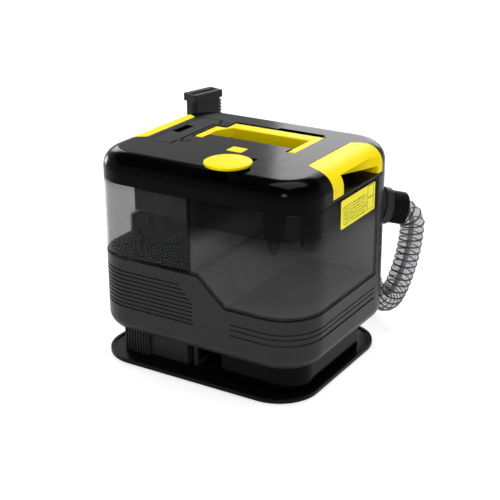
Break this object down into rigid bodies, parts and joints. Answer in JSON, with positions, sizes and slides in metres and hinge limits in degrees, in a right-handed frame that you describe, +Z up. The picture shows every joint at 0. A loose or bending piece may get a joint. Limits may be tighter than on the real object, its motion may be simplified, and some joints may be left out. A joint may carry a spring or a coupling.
{
  "type": "carpet cleaner machine",
  "caption": "Portable wet-suction carpet and upholstery cleaner with lift-off tanks, a folding carry handle, a ribbed hose and a hand tool.",
  "frame": {"origin": "centre of the body's rectangular footprint, on the surface that the machine stands on", "axes": "+X left to right along the front, +Y front to back, +Z up"},
  "size_m": [0.4364, 0.3956, 0.351],
  "materials": {
    "gloss_black": "moulded, polished",
    "charcoal": "fine satin moulding",
    "black_plastic": "satin",
    "yellow": "moulded, semi-gloss",
    "flap_black": "moulded, polished",
    "smoke_clear": "smoke-tinted, clear",
    "smoke_dark": "dark smoke-tinted",
    "tool_grey": "satin",
    "hose_grey": "ribbed, slightly clear",
    "tube_black": "satin",
    "label_yellow": "printed film",
    "steel": "plated",
    "motor_steel": "zinc plated",
    "rubber": "matt",
    "white_plastic": "natural",
    "board_green": "solder mask"
  },
  "bodies": {
    "machine": {"grip_pad": "rubber", "base_plate": "black_plastic", "recovery_sump": "gloss_black", "inlet_block": "charcoal", "chassis_frame": "charcoal", "cooling_fins": "charcoal", "lower_casing": "charcoal", "exhaust_grille": "charcoal", "tank_deck": "charcoal", "water_socket": "black_plastic", "rear_cover": "charcoal", "bulkhead": "charcoal", "circuit_board": "board_green", "suction_duct": "charcoal", "power_inlet": "black_plastic", "switch_bezel": "black_plastic", "cover_screws": "steel", "hose_socket": "charcoal", "hose_cuff": "black_plastic", "suction_hose": "hose_grey", "water_tube": "tube_black", "hose_saddle": "charcoal", "tool_cuff": "black_plastic", "tool_handle": "tool_grey", "tool_nozzle": "tool_grey", "nozzle_comb": "tool_grey", "trigger_pin": "steel", "tool_holder": "charcoal", "motor_mount": "rubber", "motor_can": "motor_steel", "fan_housing": "black_plastic", "water_pump": "white_plastic"},
    "rotor": {"motor_rotor": "motor_steel", "fan_impeller": "white_plastic"},
    "rocker": {"power_rocker": "black_plastic"},
    "trigger": {"spray_trigger": "yellow"},
    "tank_unit": {"clean_tank": "smoke_clear", "clean_tank_cover": "smoke_clear", "recovery_tank": "smoke_dark", "recovery_tank_cover": "smoke_dark", "filter_cup": "smoke_clear", "inlet_duct": "smoke_dark", "float_cage": "smoke_clear", "valve_cage": "smoke_clear", "valve_spring": "steel", "tank_link": "white_plastic", "label_plate": "label_yellow"},
    "float": {"float_ball": "white_plastic"},
    "outlet_valve": {"tank_valve": "rubber"},
    "lid": {"lid_shell": "gloss_black", "side_grip_right": "yellow", "side_grip_left": "yellow", "handle_pins": "steel", "flap_pins": "steel", "latch_pin": "steel", "button_spring": "steel"},
    "handle": {"carry_handle": "yellow"},
    "flap": {"filler_flap": "flap_black"},
    "latch": {"latch_flap": "yellow"},
    "button": {"lid_button": "yellow"}
  },
  "joints": [
    {"name": "rotor_spin", "type": "hinge", "parent": "machine", "child": "rotor", "pos_m": [-0.095, -0.02, 0.1], "axis": [0, 0, 1], "continuous": true},
    {"name": "rocker_tilt", "type": "hinge", "parent": "machine", "child": "rocker", "pos_m": [0.005, 0.147, 0.095], "axis": [1, 0, 0], "range_deg": [0, 12]},
    {"name": "trigger_pull", "type": "hinge", "parent": "machine", "child": "trigger", "pos_m": [-0.20045, 0.17114, 0.221], "axis": [-0.2588, -0.9659, 0], "range_deg": [0, 10], "stiffness_Nm_per_rad": 0.3, "springref_deg": -11.46},
    {"name": "tank_lift", "type": "slide", "parent": "machine", "child": "tank_unit", "axis": [0, 0, 1], "range_m": [0, 0.18]},
    {"name": "lid_lift", "type": "slide", "parent": "tank_unit", "child": "lid", "axis": [0, 0, 1], "range_m": [0, 0.06]},
    {"name": "float_rise", "type": "slide", "parent": "tank_unit", "child": "float", "axis": [0, 0, 1], "range_m": [0, 0.045]},
    {"name": "valve_lift", "type": "slide", "parent": "tank_unit", "child": "outlet_valve", "axis": [0, 0, 1], "range_m": [0, 0.003], "stiffness_N_per_m": 200, "springref_m": -0.003, "deforming": ["valve_spring"]},
    {"name": "handle_swing", "type": "hinge", "parent": "lid", "child": "handle", "pos_m": [0, 0.001, 0.3235], "axis": [1, 0, 0], "range_deg": [0, 90]},
    {"name": "flap_swing", "type": "hinge", "parent": "lid", "child": "flap", "pos_m": [-0.0925, 0, 0.3285], "axis": [0, 1, 0], "range_deg": [0, 90]},
    {"name": "latch_lift", "type": "hinge", "parent": "lid", "child": "latch", "pos_m": [0.032, -0.068, 0.3285], "axis": [-1, 0, 0], "range_deg": [0, 30], "stiffness_Nm_per_rad": 0.1, "springref_deg": -17.19},
    {"name": "button_press", "type": "slide", "parent": "lid", "child": "button", "axis": [0, 0, -1], "range_m": [0, 0.003], "stiffness_N_per_m": 300, "springref_m": -0.002, "deforming": ["button_spring"]}
  ]
}
